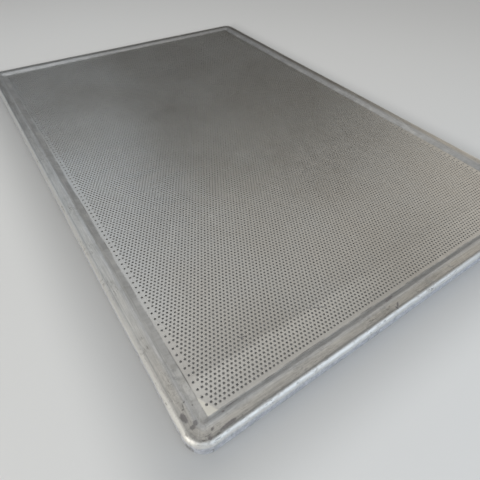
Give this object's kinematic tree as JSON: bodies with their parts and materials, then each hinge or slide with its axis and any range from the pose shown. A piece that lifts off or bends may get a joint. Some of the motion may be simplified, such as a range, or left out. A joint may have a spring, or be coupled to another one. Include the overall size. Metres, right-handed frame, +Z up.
{
  "type": "baguette tray",
  "caption": "Flat perforated aluminium bakery tray with a stepped border, rounded corners and a down-turned rim curled round a steel wire.",
  "frame": {"origin": "middle of the tray in the plane that the rim stands on", "axes": "+Z up, out of the baking surface; Y along the tray, X across it"},
  "size_m": [0.4416, 0.6428, 0.0165],
  "materials": {
    "sheet": "bare mill aluminium, dulled and stained by baking",
    "wire": "galvanised steel wire"
  },
  "bodies": {
    "root": {"perforated_sheet": "sheet", "rim_wire": "wire"}
  },
  "joints": []
}
